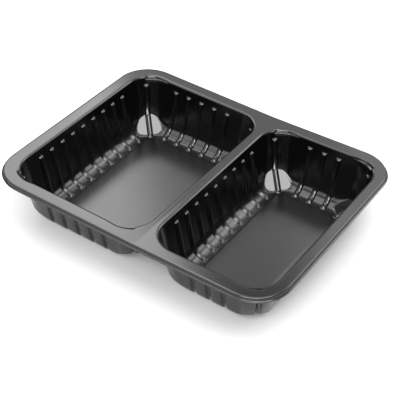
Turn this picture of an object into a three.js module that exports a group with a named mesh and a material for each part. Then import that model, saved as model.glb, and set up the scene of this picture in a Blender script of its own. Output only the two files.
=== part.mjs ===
// Two-compartment food tray: one thermoformed sheet of black plastic.
// Millimetres, +Z up. X runs along the tray, from the large compartment to the small one, and Y across
// it. The origin lies on the base plane, under the middle of the rim.
import * as THREE from 'three';

// The whole tray
const TRAY_LENGTH = 227; // over the trim lip, along X
const TRAY_WIDTH = 178; // over the trim lip, along Y
const SHEET = 0.6; // thickness of the formed sheet
const FLOOR_DEPTH = 41.6; // from the flange down to the inner floor
const HEIGHT = FLOOR_DEPTH + SHEET;

// Rim: a level flange, a short skirt turned down round it, and the lip that trimming leaves
const LIP_REACH = 2.1; // from the flange's edge out to the lip's edge
const LIP_DROP = 2.5; // from the flange down to the lip
const SKIRT_FOOT_REACH = 1.0;
const SKIRT_FOOT_DROP = 2.2;
const EDGE_ROUNDING = 0.8; // radius between flange and skirt
const FLANGE_CORNER_RADIUS = 24.5;

// The empty tray's rim sinks a little in a shallow V at the divider, and its long edges draw in there
const RIM_SAG = 1.7;
const RIM_BOW = 0.45;

// Compartments: left and right opening lines along X, and the width that both openings share
const OPENING_WIDTH = 157.6;
const LARGE = { left: -102.7, right: 7.9, ribsAcross: 5, crescents: [1, 2, 3] };
const SMALL = { left: 14.2, right: 104.9, ribsAcross: 3, crescents: [0, 1, 3] };
const DIVIDER_X = (LARGE.right + SMALL.left) / 2;
const OPENING_CORNER_RADIUS = 20;

// Section of every wall, as an inset from the opening line and a depth below the flange
const WALL_DRAFT = THREE.MathUtils.degToRad(12);
const WALL_TOP_INSET = 0.8; // where the drafted wall would meet the flange
const FILLET_RADIUS = 10.6; // between wall and floor
const FILLET_END = 18.4; // inset at which the floor is level
const RIM_ROUNDING = { inset: 0.3, depth: 0.2 };

// Centre panel of each floor, raised by a small step
const PANEL_INSET = 21.7;
const PANEL_RISE = 0.4;
const PANEL_BEVEL = 0.5;
const PANEL_CLEAR_OF_FACET = 3.3;

// Flat facet across each lower corner, level with the floor along its foot
const FACET_FOOT = 42.35; // sum of the insets from both walls along the foot
const FACET_SLOPE = THREE.MathUtils.degToRad(38);
const FACET_BULGE = 1.6; // how far its sides swell on the fillet, beyond the ends of its foot

// Stiffening ribs with a flat crest on every wall, and one on each corner's diagonal
const RIB_PITCH = 11.73;
const RIBS_ALONG = 9; // on each long wall
const RIB_WIDTH = 4.4;
const RIB_CREST_WIDTH = 2.2;
const RIB_HEIGHT = 1.7;
const RIB_START_DEPTH = 5.6;
const RIB_FULL_DEPTH = 7.2;
const RIB_END_SHARE = 0.9; // of its height, where it reaches the floor
const NUB_LENGTH = 1.0; // of the rounded end on the floor, at a wall
const CORNER_NUB_LENGTH = 1.6; // and at a corner

// Crescent-shaped stacking ledges, let into the flange at some corners
const CRESCENT_WIDTH = 2.2;
const CRESCENT_DEPTH = 1.8;
const CRESCENT_FALL = 0.2; // from the ledge's outer edge to its foot on the wall
const CRESCENT_STEP = THREE.MathUtils.degToRad(6); // the sweep in which its blunt end rises
const CRESCENT_RUN_OUT = 4.5; // how far its thin end runs on along the straight

// Resolution
const FLANGE_CORNER_STEPS = 8;
const FILLET_STEPS = 3;
const ARC_ANGLES = [15, 30, 60, 75].map(THREE.MathUtils.degToRad);

const HALVINGS = 40; // of an interval in which a crossing is sought
const TOUCHING = 1e-6;

const QUARTER = Math.PI / 2;
const DIAGONAL = Math.PI / 4;

// A side of a rounded rectangle: the outward direction, and the walking direction, anticlockwise.
// Side 0 is the right one (+X), 1 the back (+Y), 2 the left and 3 the front. Corner k follows side k.
const SIDES = [0, 1, 2, 3].map((k) => ({
  out: new THREE.Vector2(Math.round(Math.cos(k * QUARTER)), Math.round(Math.sin(k * QUARTER))),
  walk: new THREE.Vector2(Math.round(-Math.sin(k * QUARTER)), Math.round(Math.cos(k * QUARTER))),
}));

// The upper face of the sheet as it grows: points, triangles that look up, and the direction of the face
// at the points where it is known before its triangles are
const points = [];
const triangles = [];
const knownNormals = new Map();

function addPoint(plan, depth, normal) {
  points.push(new THREE.Vector3(plan.x, plan.y, HEIGHT - depth));
  if (normal) knownNormals.set(points.length - 1, normal);
  return points.length - 1;
}

// Joins two anticlockwise rings, the outer one first, by going round both in the order of each point's
// place: its share of the way round.
function stitch(outer, inner) {
  const place = (ring, i) => ring[i % ring.length].place + Math.floor(i / ring.length);
  let i = 0;
  let j = 0;
  while (i < outer.length || j < inner.length) {
    const outerIsNext = place(outer, i + 1) <= place(inner, j + 1);
    const outerGoesOn = j >= inner.length || (i < outer.length && outerIsNext);
    const a = outer[i % outer.length].index;
    const b = inner[j % inner.length].index;
    if (outerGoesOn) {
      i += 1;
      triangles.push([a, outer[i % outer.length].index, b]);
    } else {
      j += 1;
      triangles.push([a, inner[j % inner.length].index, b]);
    }
  }
}

// The rounded rectangle that a compartment's opening follows, and places on it
function makeOpening({ left, right, ribsAcross, crescents }) {
  const centre = new THREE.Vector2((left + right) / 2, 0);
  const half = new THREE.Vector2((right - left) / 2, OPENING_WIDTH / 2);
  const reach = (k) => (k % 2 === 0 ? half.x : half.y);
  const span = (k) => reach(k + 1);
  const straight = (k) => 2 * (span(k) - OPENING_CORNER_RADIUS);
  const arc = OPENING_CORNER_RADIUS * QUARTER;
  const start = [0];
  for (let k = 0; k < 4; k += 1) start.push(start[k] + straight(k) + arc);
  return {
    ribsAcross,
    crescents,
    span,
    // a point at a given inset from side k, v along it from its middle
    onSide: (k, inset, v) => centre.clone()
      .addScaledVector(SIDES[k].out, reach(k) - inset)
      .addScaledVector(SIDES[k].walk, v),
    // a point of corner k's arc, moved outwards by widening
    onArc: (k, angle, widening = 0) => centre.clone()
      .addScaledVector(SIDES[k].out, reach(k) - OPENING_CORNER_RADIUS)
      .addScaledVector(SIDES[k].walk, span(k) - OPENING_CORNER_RADIUS)
      .addScaledVector(SIDES[k].out, (OPENING_CORNER_RADIUS + widening) * Math.cos(angle))
      .addScaledVector(SIDES[k].walk, (OPENING_CORNER_RADIUS + widening) * Math.sin(angle)),
    placeOnSide: (k, v) => (start[k] + straight(k) / 2 + v) / start[4],
    placeOnArc: (k, angle) => (start[k] + straight(k) + OPENING_CORNER_RADIUS * angle) / start[4],
    // the diagonal of the corner before side k
    placeOnDiagonal: (k) => (start[k] - arc / 2) / start[4],
    towardsMiddle: (p) => new THREE.Vector2(Math.sign(centre.x - p.x), Math.sign(centre.y - p.y)),
    // insets of a point from the two nearest walls
    insets: (p) => [half.x - Math.abs(p.x - centre.x), half.y - Math.abs(p.y - centre.y)],
  };
}

function insetOf(opening, p) {
  const [a, b] = opening.insets(p);
  const r = OPENING_CORNER_RADIUS;
  return a < r && b < r ? r - Math.hypot(r - a, r - b) : Math.min(a, b);
}

// Direction of the plain wall at a point: inwards, and up by its draft
function wallNormal(opening, p) {
  const [a, b] = opening.insets(p);
  const r = OPENING_CORNER_RADIUS;
  const inwards = a < r && b < r ? new THREE.Vector2(r - a, r - b) : new THREE.Vector2(a < b, a >= b);
  inwards.normalize().multiplyScalar(Math.cos(WALL_DRAFT));
  const side = opening.towardsMiddle(p);
  return new THREE.Vector3(side.x * inwards.x, side.y * inwards.y, Math.sin(WALL_DRAFT));
}

function wallInset(depth) {
  return WALL_TOP_INSET + depth * Math.tan(WALL_DRAFT);
}

// Depth of the wall, fillet and floor at an inset
function wallDepth(inset) {
  const filletStart = FILLET_END - FILLET_RADIUS * Math.cos(WALL_DRAFT);
  if (inset < filletStart) return (inset - WALL_TOP_INSET) / Math.tan(WALL_DRAFT);
  if (inset > FILLET_END) return FLOOR_DEPTH;
  return FLOOR_DEPTH - FILLET_RADIUS + Math.sqrt(FILLET_RADIUS ** 2 - (FILLET_END - inset) ** 2);
}

function facetDepth(opening, p) {
  const [a, b] = opening.insets(p);
  return FLOOR_DEPTH - ((FACET_FOOT - a - b) / Math.SQRT2) * Math.tan(FACET_SLOPE);
}

// Where a rising function passes zero, by halving
function crossing(rising, low, high) {
  let [a, b] = [low, high];
  for (let n = 0; n < HALVINGS; n += 1) {
    const middle = (a + b) / 2;
    if (rising(middle) < 0) a = middle;
    else b = middle;
  }
  return (a + b) / 2;
}

// How far a crescent widens the opening of corner k, at an arc length beyond the corner's diagonal,
// counted towards the front or back wall
function crescentWidth(beyond) {
  const length = OPENING_CORNER_RADIUS * DIAGONAL + CRESCENT_RUN_OUT;
  return beyond < 0 ? 0 : CRESCENT_WIDTH * (1 - beyond / length);
}

// Anticlockwise stations of the rim's inner edge: the corner arcs and the crescents' ends. Each has its
// place, its point in plan, the direction inwards, and how far a crescent widens the opening there.
function rimStations(opening) {
  const stations = [];
  SIDES.forEach((side, k) => {
    const crescent = opening.crescents.includes(k);
    const towardsNext = k % 2 === 0; // the front or back wall is the one after the corner
    const end = opening.span(k) - OPENING_CORNER_RADIUS;
    const runOut = (wall, v) => stations.push({
      place: opening.placeOnSide(wall, v),
      at: () => opening.onSide(wall, 0, v),
      inwards: SIDES[wall].out.clone().negate(),
      width: 0,
    });
    if (crescent && !towardsNext) runOut(k, end - CRESCENT_RUN_OUT);
    const blunt = [DIAGONAL - CRESCENT_STEP / 2, DIAGONAL + CRESCENT_STEP / 2];
    [0, ...ARC_ANGLES.slice(0, 2), ...blunt, ...ARC_ANGLES.slice(2), QUARTER].forEach((angle) => {
      const past = (towardsNext ? angle : QUARTER - angle) - DIAGONAL;
      const width = crescent ? crescentWidth(OPENING_CORNER_RADIUS * past) : 0;
      stations.push({
        place: opening.placeOnArc(k, angle),
        at: () => opening.onArc(k, angle, width),
        inwards: opening.onArc(k, angle, -1).sub(opening.onArc(k, angle)),
        width,
      });
    });
    if (crescent && towardsNext) {
      runOut((k + 1) % 4, CRESCENT_RUN_OUT - (opening.span(k + 1) - OPENING_CORNER_RADIUS));
    }
  });
  return stations;
}

// Rings from the flange down over the rounded rim, and the crescents' ledges, to the top of the wall
function addRim(opening) {
  const stations = rimStations(opening);
  const ledge = CRESCENT_DEPTH + CRESCENT_FALL;
  const ring = (inset, depth) => stations.map((station) => {
    const plan = station.at().addScaledVector(station.inwards, inset(station));
    const plainWall = depth === ledge && station.width === 0;
    return {
      place: station.place,
      index: addPoint(plan, depth, plainWall ? wallNormal(opening, plan) : null),
    };
  });
  const rings = [
    ring(() => 0, 0),
    ring(() => RIM_ROUNDING.inset, RIM_ROUNDING.depth),
    ring(() => wallInset(CRESCENT_DEPTH), CRESCENT_DEPTH),
    ring((station) => station.width + wallInset(ledge), ledge),
  ];
  for (let n = 1; n < rings.length; n += 1) stitch(rings[n - 1], rings[n]);
  return { opening: rings[0], foot: rings[3] };
}

// A ray runs down the wall and on to the floor in one vertical plane. A rib is four rays side by side:
// its two feet and the two edges of its crest.
const RIB_RAYS = [
  { aside: -RIB_WIDTH / 2, lift: 0 },
  { aside: -RIB_CREST_WIDTH / 2, lift: RIB_HEIGHT },
  { aside: RIB_CREST_WIDTH / 2, lift: RIB_HEIGHT },
  { aside: RIB_WIDTH / 2, lift: 0 },
];

function sideRay(opening, k, v, lift) {
  return {
    place: opening.placeOnSide(k, v),
    from: opening.onSide(k, 0, v),
    to: opening.onSide(k, FILLET_END, v),
    nub: NUB_LENGTH,
    lift,
    facet: false,
  };
}

// A ray of corner k, from an angle of its arc to a place along the facet's foot, counted from the middle
function cornerRay(opening, k, angle, aside, lift) {
  const inset = FACET_FOOT / 2;
  const to = opening.onSide(k, inset, opening.span(k) - inset)
    .addScaledVector(SIDES[k].out, -aside / Math.SQRT2)
    .addScaledVector(SIDES[k].walk, aside / Math.SQRT2);
  return {
    place: opening.placeOnArc(k, angle),
    from: opening.onArc(k, angle),
    to,
    nub: CORNER_NUB_LENGTH,
    lift,
    facet: true,
  };
}

function sideRays(opening, k) {
  const ribs = k % 2 === 0 ? RIBS_ALONG : opening.ribsAcross;
  const facetReach = opening.span(k) - (FACET_FOOT - FILLET_END) - FACET_BULGE;
  const rays = [sideRay(opening, k, -facetReach, 0)];
  for (let n = 0; n < ribs; n += 1) {
    const v = (n - (ribs - 1) / 2) * RIB_PITCH;
    RIB_RAYS.forEach(({ aside, lift }) => rays.push(sideRay(opening, k, v + aside, lift)));
  }
  rays.push(sideRay(opening, k, facetReach, 0));
  return rays;
}

function cornerRays(opening, k) {
  const footHalf = (FACET_FOOT - 2 * FILLET_END) / Math.SQRT2;
  const ribFoot = RIB_WIDTH / 2;
  const ribTurn = Math.asin(ribFoot / OPENING_CORNER_RADIUS);
  const plain = (angle) => {
    const turn = angle - DIAGONAL;
    const share = (Math.abs(turn) - ribTurn) / (DIAGONAL - ribTurn);
    const aside = Math.sign(turn) * THREE.MathUtils.lerp(ribFoot, footHalf, share);
    return cornerRay(opening, k, angle, aside, 0);
  };
  const ribs = RIB_RAYS.map(({ aside, lift }) => (
    cornerRay(opening, k, DIAGONAL + Math.asin(aside / OPENING_CORNER_RADIUS), aside, lift)
  ));
  const before = [0, ...ARC_ANGLES.slice(0, 2)].map(plain);
  const after = [...ARC_ANGLES.slice(2), QUARTER].map(plain);
  return [...before, ...ribs, ...after];
}

// Distances and depths down one ray, from just above the ribs to just past their ends on the floor
function rayStations(opening, ray) {
  const towards = ray.to.clone().sub(ray.from);
  const reach = towards.length();
  towards.normalize();
  const at = (t) => ray.from.clone().addScaledVector(towards, t);
  const down = (depth) => crossing((t) => insetOf(opening, at(t)) - wallInset(depth), 0, reach);
  const stations = [[down(RIB_START_DEPTH), RIB_START_DEPTH], [down(RIB_FULL_DEPTH), RIB_FULL_DEPTH]];
  if (ray.facet) {
    const filletEnd = crossing((t) => insetOf(opening, at(t)) - FILLET_END, 0, reach);
    const overFacet = (t) => wallDepth(insetOf(opening, at(t))) - facetDepth(opening, at(t));
    const enter = crossing(overFacet, 0, Math.min(filletEnd, reach - ray.nub));
    for (let n = 0; n <= FILLET_STEPS; n += 1) {
      const t = enter + (reach - enter) * (n / FILLET_STEPS);
      stations.push([t, facetDepth(opening, at(t))]);
    }
  } else {
    for (let n = 0; n <= FILLET_STEPS; n += 1) {
      const turn = WALL_DRAFT + (QUARTER - WALL_DRAFT) * (n / FILLET_STEPS);
      const t = FILLET_END - FILLET_RADIUS * Math.cos(turn);
      stations.push([t, FLOOR_DEPTH - FILLET_RADIUS * (1 - Math.sin(turn))]);
    }
  }
  stations.push([reach + ray.nub, FLOOR_DEPTH]);
  return { at, stations };
}

// Points down one ray, lifted off the wall by its share of the rib
function addRay(opening, ray) {
  const { at, stations } = rayStations(opening, ray);
  const last = stations.length - 1;
  return stations.map(([t, depth], n) => {
    const [before, after] = [stations[Math.max(n - 1, 0)], stations[Math.min(n + 1, last)]];
    const normal = new THREE.Vector2(after[1] - before[1], after[0] - before[0]).normalize();
    let lift = ray.lift;
    if (n === 0 || n === last) lift = 0;
    if (n === last - 1) lift *= RIB_END_SHARE;
    const plan = at(t + lift * normal.x);
    const plainWall = n === 0 ? wallNormal(opening, plan) : null;
    return { place: ray.place, index: addPoint(plan, depth - lift * normal.y, plainWall) };
  });
}

// Eight-cornered outline on the floor: inset from the walls, cut off along the facets' feet. The point
// after a facet has its place on the corner's diagonal, so that each point takes its own half of the foot.
function addPanelRing(opening, beyond, depth) {
  const cut = FACET_FOOT + PANEL_CLEAR_OF_FACET * Math.SQRT2 + beyond * Math.SQRT2;
  const inset = PANEL_INSET + beyond;
  return SIDES.flatMap((side, k) => [-1, 1].map((end) => {
    const v = end * (opening.span(k) - (cut - inset));
    const place = end < 0 ? opening.placeOnDiagonal(k) : opening.placeOnSide(k, v);
    return { place, index: addPoint(opening.onSide(k, inset, v), depth) };
  }));
}

function addCompartment(shape) {
  const opening = makeOpening(shape);
  const rim = addRim(opening);
  const rays = SIDES.flatMap((side, k) => [...sideRays(opening, k), ...cornerRays(opening, k)])
    .map((ray) => addRay(opening, ray));
  const rings = rays[0].map((first, n) => rays.map((ray) => ray[n]));
  stitch(rim.foot, rings[0]);
  for (let n = 1; n < rings.length; n += 1) stitch(rings[n - 1], rings[n]);
  const step = addPanelRing(opening, 0, FLOOR_DEPTH);
  const panel = addPanelRing(opening, PANEL_BEVEL, FLOOR_DEPTH - PANEL_RISE);
  stitch(rings[rings.length - 1], step);
  stitch(step, panel);
  for (let n = 2; n < panel.length; n += 1) {
    triangles.push([panel[0].index, panel[n - 1].index, panel[n].index]);
  }
  return rim.opening;
}

// A ring of the tray's outer edge, at a distance outside the flange's edge
function addOuterRing(outside, depth) {
  const edge = { x: TRAY_LENGTH / 2 - LIP_REACH, y: TRAY_WIDTH / 2 - LIP_REACH };
  const radius = FLANGE_CORNER_RADIUS;
  const ring = [];
  SIDES.forEach(({ out, walk }, k) => {
    const [reach, span] = k % 2 === 0 ? [edge.x, edge.y] : [edge.y, edge.x];
    if (k % 2 === 1) ring.push(new THREE.Vector2(DIVIDER_X, out.y * (edge.y + outside)));
    for (let n = 0; n <= FLANGE_CORNER_STEPS; n += 1) {
      const angle = QUARTER * (n / FLANGE_CORNER_STEPS);
      ring.push(new THREE.Vector2()
        .addScaledVector(out, reach - radius + (radius + outside) * Math.cos(angle))
        .addScaledVector(walk, span - radius + (radius + outside) * Math.sin(angle)));
    }
  });
  return ring.map((plan, n) => ({ place: n / ring.length, index: addPoint(plan, depth) }));
}

// The level flange between the outer edge and both openings
function addFlange(edge, openings) {
  const holes = openings.map((ring) => [...ring].reverse());
  const plan = (ring) => ring.map(({ index }) => new THREE.Vector2(points[index].x, points[index].y));
  const order = [edge, ...holes].flat().map(({ index }) => index);
  const faces = THREE.ShapeUtils.triangulateShape(plan(edge), holes.map(plan));
  faces.forEach((corners) => triangles.push(corners.map((n) => order[n])));
}

function buildUpperFace() {
  const large = addCompartment(LARGE);
  const small = addCompartment(SMALL);
  const bend = EDGE_ROUNDING * (1 - Math.SQRT1_2);
  const edge = addOuterRing(0, 0);
  const outer = [
    edge,
    addOuterRing(EDGE_ROUNDING - bend, bend),
    addOuterRing(EDGE_ROUNDING, EDGE_ROUNDING),
    addOuterRing(SKIRT_FOOT_REACH, SKIRT_FOOT_DROP),
    addOuterRing(LIP_REACH, LIP_DROP),
  ];
  for (let n = 1; n < outer.length; n += 1) stitch(outer[n], outer[n - 1]);
  addFlange(edge, [large, small]);
  return outer[outer.length - 1];
}

// Direction of the upper face at each point: straight up on the floors, and where it isn't known the
// mean of the faces that meet there, each weighted by its corner's angle
function pointNormals() {
  const normals = points.map(() => new THREE.Vector3());
  triangles.forEach((corners) => {
    const [a, b, c] = corners.map((index) => points[index]);
    const face = new THREE.Vector3().crossVectors(b.clone().sub(a), c.clone().sub(a)).normalize();
    corners.forEach((index, n) => {
      const one = points[corners[(n + 1) % 3]].clone().sub(points[index]);
      const other = points[corners[(n + 2) % 3]].clone().sub(points[index]);
      normals[index].addScaledVector(face, one.angleTo(other));
    });
  });
  const floorHeight = HEIGHT - FLOOR_DEPTH;
  return normals.map((normal, index) => {
    if (points[index].z < floorHeight + PANEL_RISE + TOUCHING) return new THREE.Vector3(0, 0, 1);
    return knownNormals.get(index) ?? normal.normalize();
  });
}

// The rim's sag and bow, which fade out down to the floor
function settle(point) {
  const end = Math.sign(point.x - DIVIDER_X) * (TRAY_LENGTH / 2);
  const share = Math.max(0, 1 - (point.x - DIVIDER_X) / (end - DIVIDER_X || 1));
  const fade = THREE.MathUtils.clamp(point.z / HEIGHT, 0, 1) * share;
  point.y *= 1 - (RIM_BOW / (TRAY_WIDTH / 2)) * fade;
  point.z -= RIM_SAG * fade;
}

function buildTray() {
  const lip = buildUpperFace();
  const count = points.length;
  pointNormals().forEach((normal, index) => {
    points.push(points[index].clone().addScaledVector(normal, -SHEET));
  });
  const under = triangles.map(([a, b, c]) => [a + count, c + count, b + count]);
  triangles.push(...under);
  lip.forEach(({ index }, n) => {
    const next = lip[(n + 1) % lip.length].index;
    triangles.push([index, index + count, next + count], [index, next + count, next]);
  });
  points.forEach(settle);
  const geometry = new THREE.BufferGeometry().setFromPoints(points);
  geometry.setIndex(triangles.flat());
  return geometry;
}

const blackPlastic = new THREE.MeshStandardMaterial({ color: 0x17181a, roughness: 0.28, metalness: 0 });
const tray = new THREE.Mesh(buildTray(), blackPlastic);
tray.name = 'tray';

const model = new THREE.Group();
model.name = 'two_compartment_food_tray';
model.add(tray);

export default model;
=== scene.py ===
# %% [markdown]
# # A two-compartment food tray
#
# The real tray is one sheet of black plastic, about half a millimetre thick, that was softened and drawn
# into a mould. Everything on it is a bend in that one sheet: the flange, the ribbed walls, the rounded
# feet of the walls, the facets in the lower corners. So the model is one surface too. It is worked out as
# a grid of points that runs from the rim down each wall to the middle of the floor, and a Solidify
# modifier gives it the thickness of the sheet at the end.

import bpy
import numpy as np
from mathutils import Matrix, Vector


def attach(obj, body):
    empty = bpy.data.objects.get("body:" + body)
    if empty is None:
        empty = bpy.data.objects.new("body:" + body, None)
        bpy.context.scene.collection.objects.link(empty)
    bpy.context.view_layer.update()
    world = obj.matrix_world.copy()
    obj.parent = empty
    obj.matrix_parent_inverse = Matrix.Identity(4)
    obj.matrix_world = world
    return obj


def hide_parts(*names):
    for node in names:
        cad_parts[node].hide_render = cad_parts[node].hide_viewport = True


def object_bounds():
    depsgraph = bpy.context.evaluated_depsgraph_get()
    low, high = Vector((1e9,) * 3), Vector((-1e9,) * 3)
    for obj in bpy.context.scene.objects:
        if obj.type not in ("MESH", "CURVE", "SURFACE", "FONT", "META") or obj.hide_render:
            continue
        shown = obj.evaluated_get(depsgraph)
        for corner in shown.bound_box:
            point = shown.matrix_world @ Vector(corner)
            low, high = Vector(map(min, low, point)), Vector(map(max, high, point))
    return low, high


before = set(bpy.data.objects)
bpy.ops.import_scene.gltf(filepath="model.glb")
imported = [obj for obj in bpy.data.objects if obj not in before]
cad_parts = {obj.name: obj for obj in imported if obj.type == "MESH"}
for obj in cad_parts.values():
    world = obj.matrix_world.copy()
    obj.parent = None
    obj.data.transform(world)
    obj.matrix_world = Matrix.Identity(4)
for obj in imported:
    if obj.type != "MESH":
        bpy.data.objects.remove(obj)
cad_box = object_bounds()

MM = 0.001
print("CAD box, mm:", [round(v / MM, 2) for corner in cad_box for v in corner])

# %% [markdown]
# ## Sizes
#
# All sizes are in millimetres, and heights are given as depths below the flange, because that is how a
# formed tray is drawn. Only the finished mesh is turned into metres. The outer size and the height come
# from the frame, and the rest are the tray's own driving dimensions.

# %% Driving dimensions
SHEET = 0.6
FLOOR_DEPTH = 41.6
HEIGHT = FLOOR_DEPTH + SHEET
RIM_HALF = np.array([cad_box[1].x / MM, 89.0])  # over the trim lip, where the rim isn't drawn in

LIP_REACH = 2.1
FLANGE_HALF = RIM_HALF - LIP_REACH
FLANGE_CORNER_RADIUS = 24.5

OPENING_WIDTH = 157.6
LARGE = {"left": -102.7, "right": 7.9, "ribs_across": 5, "crescents": (1, 2, 3)}
SMALL = {"left": 14.2, "right": 104.9, "ribs_across": 3, "crescents": (0, 1, 3)}
DIVIDER_X = (LARGE["right"] + SMALL["left"]) / 2
CORNER_RADIUS = 20.0

DRAFT = np.radians(12)
RIM_RADIUS = 1.5
WALL_TOP_INSET = 0.8
FILLET_RADIUS = 10.6
FILLET_END = 18.4
FILLET_START = FILLET_END - FILLET_RADIUS * np.cos(DRAFT)

FACET_FOOT = 42.35
FACET_SLOPE = np.radians(38)
FACET_BLEND = 1.0

PANEL_INSET = 21.7
PANEL_RISE = 0.4
PANEL_CUT = FACET_FOOT + 3.3 * np.sqrt(2)

RIB_PITCH = 11.73
RIBS_ALONG = 9
RIB_HALF = 2.2
RIB_HEIGHT = 1.7

CRESCENT_WIDTH = 2.2
CRESCENT_DEPTH = 1.8
CRESCENT_RUN_OUT = 4.5
CRESCENT_BLUNTNESS = 0.9

RIM_SAG = 1.7
RIM_BOW = 0.45
print("height, mm:", HEIGHT, "divider at x =", DIVIDER_X)

# %% [markdown]
# ## The form of the wall
#
# Seen from above, every point inside a compartment has an inset: its distance from the opening line. In
# the corners the line is an arc, so the inset is measured towards the arc's centre. The wall's section is
# a function of the inset alone: a straight, slightly slanted wall, a round fillet, and the level floor.
# Each lower corner has a flat facet laid across it. The sheet lies on whichever is higher, wall or facet,
# and a smooth minimum rounds the crease between them, as the sheet does when it is drawn over an edge.

# %% Depth of the sheet at any point of a compartment
def insets(plan, room):
    """Distances of points from the side wall and from the end wall that are nearest to them."""
    from_side = room["half"][0] - np.abs(plan[..., 0] - room["centre"])
    from_end = room["half"][1] - np.abs(plan[..., 1])
    return from_side, from_end


def inset_of(plan, room):
    """Inset from the opening line: along the radius within a corner's square, else the nearer wall's."""
    a, b = insets(plan, room)
    in_corner = (a < CORNER_RADIUS) & (b < CORNER_RADIUS)
    radial = CORNER_RADIUS - np.hypot(CORNER_RADIUS - a, CORNER_RADIUS - b)
    return np.where(in_corner, radial, np.minimum(a, b))


def wall_inset(depth):
    """Inset of the slanted wall at a depth: its top inset plus depth times the tangent of its draft."""
    return WALL_TOP_INSET + depth * np.tan(DRAFT)


def wall_depth(inset):
    """Depth of the section: the slanted line, then a quarter-round fillet, then the floor."""
    wall = (inset - WALL_TOP_INSET) / np.tan(DRAFT)
    leg = np.clip(FILLET_END - inset, 0, FILLET_RADIUS)
    fillet = FLOOR_DEPTH - FILLET_RADIUS + np.sqrt(FILLET_RADIUS**2 - leg**2)
    return np.where(inset < FILLET_START, wall, fillet)


def facet_depth(plan, room):
    """Depth of the corner's flat facet: it rises from its foot, where both insets add up to a constant."""
    a, b = insets(plan, room)
    return FLOOR_DEPTH - (FACET_FOOT - a - b) / np.sqrt(2) * np.tan(FACET_SLOPE)


def sheet_depth(plan, room):
    """Smooth minimum of wall and facet: the lesser, less h squared times a quarter of the blend, where h
    falls from 1 to 0 as the two part by the blend."""
    wall = wall_depth(inset_of(plan, room))
    facet = facet_depth(plan, room)
    h = np.clip(1 - np.abs(wall - facet) / FACET_BLEND, 0, 1)
    return np.minimum(np.minimum(wall, facet) - h**2 * FACET_BLEND / 4, FLOOR_DEPTH)


# %% [markdown]
# ## Columns
#
# The grid's columns start on the opening line and run down the wall to the facet's foot or the fillet's
# end, and on over the floor to the outline of the raised centre panel. There are many columns across each
# rib, and one close beside each of its feet, which keeps the wall between ribs flat. Each column keeps its
# share of the rib's height, which is half an ellipse across: a round crest and short steep flanks. Round
# the corner the columns fan in, and across the diagonal rib they run side by side.

# %% Places along a side and round a corner
SIDE_OUT = np.array([(1, 0), (0, 1), (-1, 0), (0, -1)], float)
SIDE_WALK = np.array([(0, 1), (-1, 0), (0, -1), (1, 0)], float)
RIB_POINTS = np.array([-2.4, -2.2, -2.05, -1.7, -1.0, 0.0, 1.0, 1.7, 2.05, 2.2, 2.4])
RIB_CROWN = np.sqrt(np.clip(1 - (RIB_POINTS / RIB_HALF) ** 2, 0, 1))
RUN_COLUMNS = 8
FAN_COLUMNS = 8
FACET_HALF = (FACET_FOOT - 2 * FILLET_END) / np.sqrt(2)
PANEL_CUT_HALF = (PANEL_CUT - 2 * PANEL_INSET) / np.sqrt(2)
FAN_EDGE = 27.0  # distance from the neighbouring wall at which columns begin to lean into the corner


def side_places(span, ribs):
    """Places along one side, measured from its middle, and the share of a rib's height at each."""
    centres = (np.arange(ribs) - (ribs - 1) / 2) * RIB_PITCH
    on_ribs = (centres[:, None] + RIB_POINTS).ravel()
    run = np.linspace(on_ribs[-1], span - CORNER_RADIUS, RUN_COLUMNS + 1)[1:]
    v = np.concatenate([on_ribs, run, -run])
    share = np.concatenate([np.tile(RIB_CROWN, ribs), 0 * run, 0 * run])
    order = np.argsort(v)
    return v[order], share[order]


def corner_places():
    """Angles round a corner's arc, the place of each column along the facet's foot, and its rib share."""
    rib_edge = np.pi / 4 - np.arcsin(RIB_POINTS[-1] / CORNER_RADIUS)
    fan = np.linspace(0, rib_edge, FAN_COLUMNS + 1)[1:-1]
    fan_foot = np.interp(fan, [0, rib_edge], [-FACET_HALF, RIB_POINTS[0]])
    angle = np.concatenate([fan, np.pi / 4 + np.arcsin(RIB_POINTS / CORNER_RADIUS), np.pi / 2 - fan[::-1]])
    foot = np.concatenate([fan_foot, RIB_POINTS, -fan_foot[::-1]])
    share = np.concatenate([0 * fan, RIB_CROWN, 0 * fan])
    return angle, foot, share


# %% Start, foot and panel point of every column of a compartment
SIDE_NUB = 1.2  # how far a rib's rounded end reaches past the fillet on a side
CORNER_NUB = 1.6  # and past the facet in a corner
DIAGONAL_SLACK = 0.03  # angle that still counts as the corner's diagonal, in radians


def crescent_width(beyond):
    """How far a stacking crescent widens the opening: full just beyond the corner's diagonal, and
    falling evenly to nothing where it runs out on the straight."""
    length = CORNER_RADIUS * np.pi / 4 + CRESCENT_RUN_OUT
    blunt = np.clip(beyond / CRESCENT_BLUNTNESS + 0.5, 0, 1)
    return CRESCENT_WIDTH * blunt * np.clip(1 - beyond / length, 0, 1)


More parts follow.
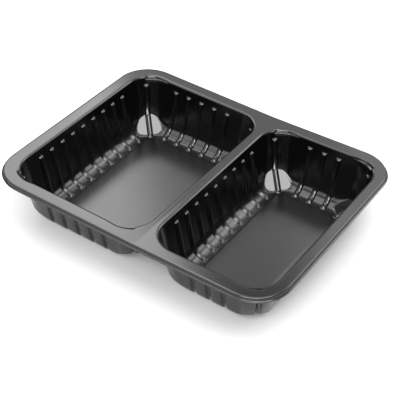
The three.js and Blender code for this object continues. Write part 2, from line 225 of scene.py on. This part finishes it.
def make_room(left, right, ribs_across, crescents):
    """A compartment: its columns, anticlockwise from the front end of its right side."""
    half = np.array([(right - left) / 2, OPENING_WIDTH / 2])
    room = {"centre": (left + right) / 2, "half": half}
    middle = np.array([room["centre"], 0.0])
    parts = []
    for k in range(4):
        out, walk = SIDE_OUT[k], SIDE_WALK[k]
        reach, span = half[k % 2], half[(k + 1) % 2]
        place = lambda inset, v: middle + np.outer(reach - inset, out) + np.outer(v, walk)
        crescent = lambda beyond, corner: crescent_width(beyond) * (corner % 4 in crescents)

        v, share = side_places(span, RIBS_ALONG if k % 2 == 0 else ribs_across)
        gap = span - np.abs(v)
        lean = np.clip((gap - CORNER_RADIUS) / (FAN_EDGE - CORNER_RADIUS), 0, 1)
        leaning = lambda nearest: np.where(lean < 1, nearest + lean * (FAN_EDGE - nearest), gap)
        foot_gap = leaning(FACET_FOOT - FILLET_END)
        step_gap = leaning(PANEL_CUT - PANEL_INSET)
        past_arc = CORNER_RADIUS * np.pi / 4 + span - CORNER_RADIUS - np.abs(v)
        widen = np.where(v > 0, crescent(past_arc, k), crescent(past_arc, k - 1)) * (k % 2)
        parts.append({
            "start": place(np.zeros_like(v), v),
            "out": np.tile(out, (len(v), 1)),
            "foot": place(np.full_like(v, FILLET_END), np.sign(v) * (span - foot_gap)),
            "step": place(np.full_like(v, PANEL_INSET), np.sign(v) * (span - step_gap)),
            "share": share,
            "widen": widen,
            "nub": np.full_like(v, SIDE_NUB),
        })

        angle, aside, share = corner_places()
        radial = np.outer(np.cos(angle), out) + np.outer(np.sin(angle), walk)
        centre = middle + (reach - CORNER_RADIUS) * out + (span - CORNER_RADIUS) * walk
        along_foot = (walk - out) / np.sqrt(2)
        on_diagonal = lambda inset: middle + (reach - inset) * out + (span - inset) * walk
        towards_end_wall = angle - np.pi / 4 if k % 2 == 0 else np.pi / 4 - angle
        parts.append({
            "start": centre + CORNER_RADIUS * radial,
            "out": radial,
            "foot": on_diagonal(FACET_FOOT / 2) + np.outer(aside, along_foot),
            "step": on_diagonal(PANEL_CUT / 2) + np.outer(aside * PANEL_CUT_HALF / FACET_HALF, along_foot),
            "share": share,
            "widen": crescent(CORNER_RADIUS * towards_end_wall, k) * (towards_end_wall > -DIAGONAL_SLACK),
            "nub": np.full_like(angle, CORNER_NUB),
        })
    for name in parts[0]:
        room[name] = np.concatenate([part[name] for part in parts])
    return room


large, small = make_room(**LARGE), make_room(**SMALL)
print("columns:", len(large["start"]), "and", len(small["start"]))

# %% [markdown]
# ## Rows of one compartment
#
# Down each column the rows follow the section: the flange, the small radius of the rim, the narrow ledge
# of a crescent where there is one, the wall, the top of the rib, the fillet or facet, the rounded end of
# the rib, and the step up to the centre panel. Rows lie close where the sheet bends sharply.

# %% Rows from the flange to the top of the wall
RIM_TURNS = np.radians([0, 26, 52, 78])
LEDGE_ROWS = [(CRESCENT_DEPTH - 0.35, 1.0), (CRESCENT_DEPTH, 0.88), (CRESCENT_DEPTH + 0.12, 0.1), (2.2, 0.0)]
RIM_HOLD = 0.6  # a row on the level flange that keeps the rim's rounding narrow


def rim_rows(room):
    """Plan places and depths of the rim's rows. The rounding is an arc tangent to flange and wall; a
    crescent moves it outwards, and its ledge then leads back to the wall."""
    centre = WALL_TOP_INSET + RIM_RADIUS * np.tan(DRAFT) - RIM_RADIUS / np.cos(DRAFT)
    rows = [(centre - RIM_HOLD, 0.0, 1.0)]
    rows += [(centre + RIM_RADIUS * np.sin(turn), RIM_RADIUS * (1 - np.cos(turn)), 1.0) for turn in RIM_TURNS]
    rows += [(wall_inset(depth), depth, share) for depth, share in LEDGE_ROWS]
    start, out, widen = room["start"], room["out"], room["widen"]
    plans = [start - out * (inset - widen * share)[:, None] for inset, _, share in rows]
    depths = [np.full(len(start), depth) for _, depth, _ in rows]
    return np.stack(plans, 1), np.stack(depths, 1)


# %% Rows from the wall to the panel
WALL_ROWS = np.array([5.45, 5.9, 6.1, 6.4, 6.85, 7.45, 8.25, 16.5])
FILLET_TURNS = np.radians([12, 22, 32, 42, 52, 61, 69])
FOOT_ROWS = np.array([2.4, 1.6, 0.9, 0.35])  # before the end of the fillet
NUB_ROWS = np.array([0.15, 0.5, 0.9, 1.3, 1.7])  # beyond it
STEP_ROWS = np.array([[-0.4, 0.0], [-0.15, 0.2], [0.15, 0.8], [0.4, 1.0]])


HALVINGS = 40


def travel(rising, start, aim, furthest):
    """Distance along each ray at which a rising quantity passes zero, found by halving the interval."""
    low = np.zeros_like(furthest)
    high = furthest.copy()
    for _ in range(HALVINGS):
        middle = (low + high) / 2
        below = rising(start + aim * middle[..., None]) < 0
        low = np.where(below, middle, low)
        high = np.where(below, high, middle)
    return high


def wall_rows(room):
    """Plan places of the rows from the wall to the panel, and the distance of each from the foot."""
    start, foot, step = room["start"], room["foot"], room["step"]
    aim = foot - start
    reach = np.linalg.norm(aim, axis=1)
    aim = aim / reach[:, None]
    line = lambda plan: (inset_of(plan, room) - WALL_TOP_INSET) / np.tan(DRAFT)
    on_wall = [travel(lambda p, d=d: line(p) - d, start, aim, reach) for d in WALL_ROWS]
    fillet = travel(lambda p: inset_of(p, room) - FILLET_START, start, aim, reach)
    enter = travel(lambda p: line(p) - facet_depth(p, room), start, aim, fillet)
    spare = FILLET_RADIUS * np.cos(DRAFT)
    shares = np.concatenate([1 - np.cos(FILLET_TURNS) / np.cos(DRAFT), 1 - FOOT_ROWS / spare])
    rows = np.stack(on_wall + [enter + (reach - enter) * share for share in shares], 1)
    plans = start[:, None] + aim[:, None] * rows[..., None]

    across = step - foot
    breadth = np.linalg.norm(across, axis=1)
    across = across / breadth[:, None]
    beyond = np.concatenate([np.tile(NUB_ROWS, (len(foot), 1)), breadth[:, None] + STEP_ROWS[:, 0]], 1)
    floor = foot[:, None] + across[:, None] * beyond[..., None]
    return np.concatenate([plans, floor], 1), np.concatenate([rows - reach[:, None], beyond], 1)


# %% Lift of the ribs
RIB_TOP = 5.9
RIB_TOP_LENGTH = 1.7
RIB_END_LENGTH = 1.5
RIB_NOSE = 0.9  # how far the ends of the flanks lie inside the ends of the crest


def round_end(distance, length):
    """Share of a rib's height at a distance inside its end: a quarter circle, then full."""
    return np.sqrt(np.clip(1 - np.clip(1 - distance / length, 0, 1) ** 2, 0, 1))


def lift_ribs(room, plan, depth, beyond):
    """Moves points off the sheet along its normal. The normal is at right angles to the column's own
    slope, which the rows before and after a point give."""
    along = np.gradient(plan, axis=1)
    run = np.linalg.norm(along, axis=2)
    fall = np.gradient(depth, axis=1)
    size = np.hypot(run, fall)
    forward = along / np.maximum(run, 1e-9)[..., None]
    share = room["share"][:, None]
    nose = RIB_NOSE * (1 - share)
    top = round_end(depth - RIB_TOP - nose, RIB_TOP_LENGTH)
    end = round_end(room["nub"][:, None] - nose - beyond, RIB_END_LENGTH)
    lift = RIB_HEIGHT * share * top * end
    return plan + forward * (lift * fall / size)[..., None], depth - lift * run / size


# %% [markdown]
# ## One grid from the tray's edge to the floor's middle
#
# The flange needs an outer edge for each column. A ray from the opening, straight out, meets either the
# flange's rounded outer edge or the middle line of the divider, and the two compartments' grids share
# their points there. One column at each end of the divider is moved to the exact corner of the two.

# %% Where the columns meet the flange's edge and the divider's middle
LONGEST_RAY = 60.0  # more than the way from any opening to the tray's edge
ON_THE_LINE = 1e-6


def edge_distance(plan):
    """Signed distance from the flange's outer edge, a rounded rectangle; negative inside it."""
    beyond = np.abs(plan) - (FLANGE_HALF - FLANGE_CORNER_RADIUS)
    outside = np.linalg.norm(np.maximum(beyond, 0), axis=-1)
    return outside + np.minimum(beyond.max(axis=-1), 0) - FLANGE_CORNER_RADIUS


def surround(room, side):
    """Outer end of every column, and whether it lies on the tray's edge. side is +1 for the compartment
    right of the divider and -1 for the one left of it."""
    past_divider = lambda p: -side * (p[..., 0] - DIVIDER_X)
    rising = lambda p: np.maximum(edge_distance(p), past_divider(p))
    out = room["out"]
    t = travel(rising, room["start"], out, np.full(len(out), LONGEST_RAY))
    plan = room["start"] + out * t[:, None]
    for end in (-1, 1):
        corner = np.array([DIVIDER_X, end * FLANGE_HALF[1]])
        plan[np.argmin(np.linalg.norm(plan - corner, axis=1))] = corner
    plan[np.abs(plan[:, 0] - DIVIDER_X) < ON_THE_LINE, 0] = DIVIDER_X
    return plan, edge_distance(plan) > -ON_THE_LINE


# %% The compartment's grid
PANEL_SHARES = (0.97, 0.5, 0.0)
EDGE_HOLD = 0.12  # share of the flange's breadth at which a row keeps its outer edge level


def room_grid(room, side):
    """Points of one compartment's grid, columns by rows, as x, y and depth."""
    outer, on_edge = surround(room, side)
    rim_plan, rim_depth = rim_rows(room)
    wall_plan, beyond = wall_rows(room)
    depth = sheet_depth(wall_plan, room)
    depth[:, -len(STEP_ROWS):] = FLOOR_DEPTH - PANEL_RISE * STEP_ROWS[:, 1]
    wall_plan, depth = lift_ribs(room, wall_plan, depth, beyond)
    middle = np.array([room["centre"], 0.0])
    panel = np.stack([middle + (wall_plan[:, -1] - middle) * share for share in PANEL_SHARES], 1)
    hold = outer + (rim_plan[:, 0] - outer) * EDGE_HOLD
    plan = np.concatenate([outer[:, None], hold[:, None], rim_plan, wall_plan, panel], 1)
    level = np.zeros((len(outer), 2))
    floor = np.full((len(outer), len(PANEL_SHARES)), FLOOR_DEPTH - PANEL_RISE)
    depths = np.concatenate([level, rim_depth, depth, floor], 1)
    return np.concatenate([plan, depths[..., None]], 2), outer, on_edge


large_grid, large_outer, large_on_edge = room_grid(large, -1)
small_grid, small_outer, small_on_edge = room_grid(small, 1)
print("grids:", large_grid.shape[:2], small_grid.shape[:2])

# %% [markdown]
# ## Skirt and trim lip
#
# Outside the flange the sheet turns down in a short skirt, and ends in the narrow lip that the trimming
# knife leaves. Its grid goes round the tray's edge: the same points as the flange's own edge, moved out
# along the edge's normal and down.

# %% The rim outside the flange
EDGE_RADIUS = 0.8
SKIRT = [(0.85, 1.2), (0.93, 1.75), (1.02, 2.05), (1.25, 2.24), (1.65, 2.36), (LIP_REACH, 2.5)]


def edge_normal(plan):
    """Outward normal of the rounded rectangle: away from the corner's centre, or straight off a side."""
    core = FLANGE_HALF - FLANGE_CORNER_RADIUS
    away = plan - np.clip(plan, -core, core)
    return away / np.linalg.norm(away, axis=1)[:, None]


def order_edge(plan):
    """Anticlockwise order of points on the tray's edge, by their angle round the middle."""
    return plan[np.argsort(np.arctan2(plan[:, 1], plan[:, 0]))]


def rim_grid():
    """Points of the skirt and lip, columns by rows."""
    edge = np.concatenate([large_outer[large_on_edge], small_outer[small_on_edge]])
    edge = order_edge(np.unique(edge.round(6), axis=0))
    turns = np.radians([0, 22, 45, 67, 85])
    rows = [(EDGE_RADIUS * np.sin(turn), EDGE_RADIUS * (1 - np.cos(turn))) for turn in turns] + SKIRT
    normal = edge_normal(edge)
    points = [np.column_stack([edge + normal * out, np.full(len(edge), depth)]) for out, depth in rows]
    return np.stack(points[::-1], 1)


rim = rim_grid()
print("rim grid:", rim.shape[:2])

# %% [markdown]
# ## From grids to one closed sheet
#
# The empty tray isn't perfectly straight: its rim sinks a little towards the divider and the long edges
# draw in there, while the floors lie flat. Then the three grids become one mesh. Points that two grids
# share are merged, and so are the points that meet in the middle of each floor. Solidify adds the
# thickness below, so that the inner face keeps its exact form.

# %% Settle the rim and build the mesh
def settle(points):
    """The rim's V-shaped sag and the bow of the long edges, fading out down to the floor."""
    x, y = points[..., 0], points[..., 1]
    z = HEIGHT - points[..., 2]
    end = np.where(x > DIVIDER_X, RIM_HALF[0], -RIM_HALF[0])
    fade = np.clip(z / HEIGHT, 0, 1) * np.clip(1 - (x - DIVIDER_X) / (end - DIVIDER_X), 0, 1)
    return np.stack([x, y * (1 - RIM_BOW / RIM_HALF[1] * fade), z - RIM_SAG * fade], -1)


def grid_faces(columns, rows, first):
    """Quads of a grid that closes on itself round its columns. Rows run inwards, so faces look up."""
    c, r = np.meshgrid(np.arange(columns), np.arange(rows - 1), indexing="ij")
    here = first + c * rows + r
    following = first + (c + 1) % columns * rows + r
    return np.stack([here, following, following + 1, here + 1], -1).reshape(-1, 4)


def build_sheet(grids):
    """One mesh from several grids, with shared points merged and collapsed corners dropped."""
    points = np.concatenate([grid.reshape(-1, 3) for grid in grids])
    firsts = np.cumsum([0] + [grid.shape[0] * grid.shape[1] for grid in grids[:-1]])
    quads = np.concatenate([grid_faces(*grid.shape[:2], first) for grid, first in zip(grids, firsts)])
    _, keep, merged = np.unique(points.round(4), axis=0, return_index=True, return_inverse=True)
    quads = merged.reshape(-1)[quads]
    faces = [list(dict.fromkeys(quad)) for quad in quads.tolist()]
    mesh = bpy.data.meshes.new("tray_sheet")
    mesh.from_pydata((settle(points[keep]) * MM).tolist(), [], [face for face in faces if len(face) > 2])
    mesh.validate()
    mesh.shade_smooth()
    return mesh


THINNING = 0.95  # drawing the sheet thins it a little
sheet = bpy.data.objects.new("tray_sheet", build_sheet([large_grid, small_grid, rim]))
bpy.context.scene.collection.objects.link(sheet)
thickness = sheet.modifiers.new("sheet thickness", "SOLIDIFY")
thickness.thickness = SHEET * THINNING * MM
thickness.offset = -1
thickness.use_rim = True
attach(sheet, "root")
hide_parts("tray")
print("sheet:", len(sheet.data.vertices), "points and", len(sheet.data.polygons), "faces on one side")

# %% [markdown]
# ## Black plastic
#
# The sheet is nearly black all through, so what one sees is mostly what it mirrors. The walls and the
# flange came off the polished mould glossy, and the floors have a fine grain that scatters the mirror
# image into a satin sheen.

# %% Material
SATIN_BELOW, GLOSS_FROM = 1.05, 1.6  # heights above the base plane: the floors lie below both
SATIN_ROUGHNESS = 0.2
GLOSS_ROUGHNESS = 0.15
PLASTIC_COLOUR = (0.0012, 0.0012, 0.0013, 1)
GRAIN_SCALE = 1400
GRAIN_STRENGTH = 0.16
GRAIN_DEPTH = 0.1  # in millimetres, before the strength


def plastic_material():
    """Black sheet, satin on the floors and glossy above them. Both finishes, and the fine grain of the
    satin one, are read from object coordinates: the height says which face it is."""
    material = bpy.data.materials.new("black_formed_plastic")
    material.use_nodes = True
    tree = material.node_tree
    nodes, links = tree.nodes, tree.links
    shader = nodes["Principled BSDF"]
    shader.inputs["Base Color"].default_value = PLASTIC_COLOUR
    shader.inputs["IOR"].default_value = 1.5

    place = nodes.new("ShaderNodeTexCoord")
    split = nodes.new("ShaderNodeSeparateXYZ")
    links.new(place.outputs["Object"], split.inputs["Vector"])
    finish = nodes.new("ShaderNodeValToRGB")  # black where satin, white where glossy, by height
    ramp = finish.color_ramp
    ramp.elements[0].position = SATIN_BELOW / HEIGHT
    ramp.elements[0].color = (0, 0, 0, 1)
    ramp.elements[1].position = GLOSS_FROM / HEIGHT
    ramp.elements[1].color = (1, 1, 1, 1)
    height = nodes.new("ShaderNodeMath")
    height.operation = "DIVIDE"
    height.inputs[1].default_value = HEIGHT * MM
    links.new(split.outputs["Z"], height.inputs[0])
    links.new(height.outputs["Value"], finish.inputs["Fac"])

    roughness = nodes.new("ShaderNodeMapRange")
    roughness.inputs["To Min"].default_value = SATIN_ROUGHNESS
    roughness.inputs["To Max"].default_value = GLOSS_ROUGHNESS
    links.new(finish.outputs["Color"], roughness.inputs["Value"])
    links.new(roughness.outputs["Result"], shader.inputs["Roughness"])

    grain = nodes.new("ShaderNodeTexNoise")
    grain.inputs["Scale"].default_value = GRAIN_SCALE
    links.new(place.outputs["Object"], grain.inputs["Vector"])
    amount = nodes.new("ShaderNodeMapRange")
    amount.inputs["To Min"].default_value = GRAIN_STRENGTH
    amount.inputs["To Max"].default_value = 0.0
    links.new(finish.outputs["Color"], amount.inputs["Value"])
    bump = nodes.new("ShaderNodeBump")
    bump.inputs["Distance"].default_value = GRAIN_DEPTH * MM
    links.new(grain.outputs["Fac"], bump.inputs["Height"])
    links.new(amount.outputs["Result"], bump.inputs["Strength"])
    links.new(bump.outputs["Normal"], shader.inputs["Normal"])
    return material


sheet.data.materials.append(plastic_material())
print("material:", sheet.data.materials[0].name)

# %% [markdown]
# ## Floor, light and camera
#
# The tray stands on a pale floor in a soft studio light. A black glossy thing shows the lights rather than
# its own colour, so each softbox has its place: the key on the corner facets, the ones behind and to the
# left on the floors, the flange and the feet of the walls, and the fill in front on the outer walls.
# The camera looks from the photo's angle and is centred on its picture.

# %% Floor
FLOOR_REACH = 6.0  # metres
FLOOR_GREY = 0.44
FLOOR_ROUGHNESS = 0.6


def make_floor():
    """A wide pale floor under the tray."""
    r = FLOOR_REACH
    mesh = bpy.data.meshes.new("floor")
    corners = [(-r, -r, 0), (r, -r, 0), (r, r, 0), (-r, r, 0)]
    mesh.from_pydata(corners, [], [(0, 1, 2, 3)])
    floor = bpy.data.objects.new("floor", mesh)
    bpy.context.scene.collection.objects.link(floor)
    material = bpy.data.materials.new("pale_floor")
    material.use_nodes = True
    shader = material.node_tree.nodes["Principled BSDF"]
    shader.inputs["Base Color"].default_value = (FLOOR_GREY, FLOOR_GREY, FLOOR_GREY, 1)
    shader.inputs["Roughness"].default_value = FLOOR_ROUGHNESS
    mesh.materials.append(material)
    return floor


floor = make_floor()
print("floor:", 2 * FLOOR_REACH, "metres wide, grey", FLOOR_GREY)


# %% Lights
def softbox(name, azimuth, elevation, distance, width, height, radiance):
    """A face that radiates evenly sends out its radiance times pi times its area in all."""
    a, e = np.radians([azimuth, elevation])
    direction = Vector((np.sin(a) * np.cos(e), -np.cos(a) * np.cos(e), np.sin(e)))
    data = bpy.data.lights.new(name, "AREA")
    data.shape = "RECTANGLE"
    data.size = width
    data.size_y = height
    data.energy = radiance * np.pi * width * height
    light = bpy.data.objects.new(name, data)
    light.location = direction * distance
    light.rotation_euler = direction.to_track_quat("Z", "Y").to_euler()
    bpy.context.scene.collection.objects.link(light)
    return light


softbox("key", 69, 64, 1.5, 0.75, 0.75, 10.5)
softbox("front_fill", 20, 42, 1.8, 1.1, 0.8, 16)
softbox("ceiling", 0, 89.9, 1.9, 2.6, 2.6, 1.2)
softbox("front_left", 325, 30, 1.8, 1.0, 0.8, 2.5)
softbox("right_back", 142, 28, 1.8, 0.8, 0.7, 4)
softbox("back_right", 163, 42, 1.8, 0.7, 0.8, 5)
softbox("back", 187, 42, 1.8, 0.7, 0.8, 2)
softbox("back_left", 212, 37, 1.8, 0.6, 0.5, 1.2)
softbox("left_back", 236, 46, 1.8, 0.9, 0.8, 5.2)
softbox("left", 300, 42, 1.8, 1.1, 0.8, 1.5)
softbox("high_back", 215, 68, 1.8, 0.9, 0.6, 3)
softbox("high_left", 300, 68, 1.8, 0.9, 0.6, 2.5)

world = bpy.data.worlds.new("studio")
world.use_nodes = True
world.node_tree.nodes["Background"].inputs["Color"].default_value = (1, 1, 1, 1)
world.node_tree.nodes["Background"].inputs["Strength"].default_value = 0.4
bpy.context.scene.world = world
bpy.context.scene.view_settings.view_transform = "Standard"
print("softboxes:", len(bpy.data.lights))

# %% Camera
CAMERA_AZIMUTH = 32.887
CAMERA_ELEVATION = 39.558
CAMERA_ROLL = 2.075
CAMERA_DISTANCE = 723.936
CAMERA_ASIDE = (2.645, -22.0)
FOCAL_PIXELS = 1047.69
PICTURE = 400


def make_camera():
    """The camera, aimed by azimuth, elevation and roll at the middle of the rim, then moved aside."""
    a, e, r = np.radians([CAMERA_AZIMUTH, CAMERA_ELEVATION, CAMERA_ROLL])
    back = Vector((np.sin(a) * np.cos(e), -np.cos(a) * np.cos(e), np.sin(e)))
    level = Vector((np.cos(a), np.sin(a), 0))
    above = back.cross(level)
    right = level * np.cos(r) + above * np.sin(r)
    up = above * np.cos(r) - level * np.sin(r)
    data = bpy.data.cameras.new("camera")
    data.sensor_width = 36
    data.lens = 36 * FOCAL_PIXELS / PICTURE
    camera = bpy.data.objects.new("camera", data)
    rim_middle = Vector((0, 0, HEIGHT))
    aside = right * CAMERA_ASIDE[0] + up * CAMERA_ASIDE[1]
    camera.location = (rim_middle + back * CAMERA_DISTANCE + aside) * MM
    camera.rotation_mode = "QUATERNION"
    camera.rotation_quaternion = Matrix((right, up, back)).transposed().to_quaternion()
    bpy.context.scene.collection.objects.link(camera)
    bpy.context.scene.camera = camera
    return camera


camera = make_camera()
print("camera:", camera.name, "with a lens of", round(camera.data.lens, 1), "mm")
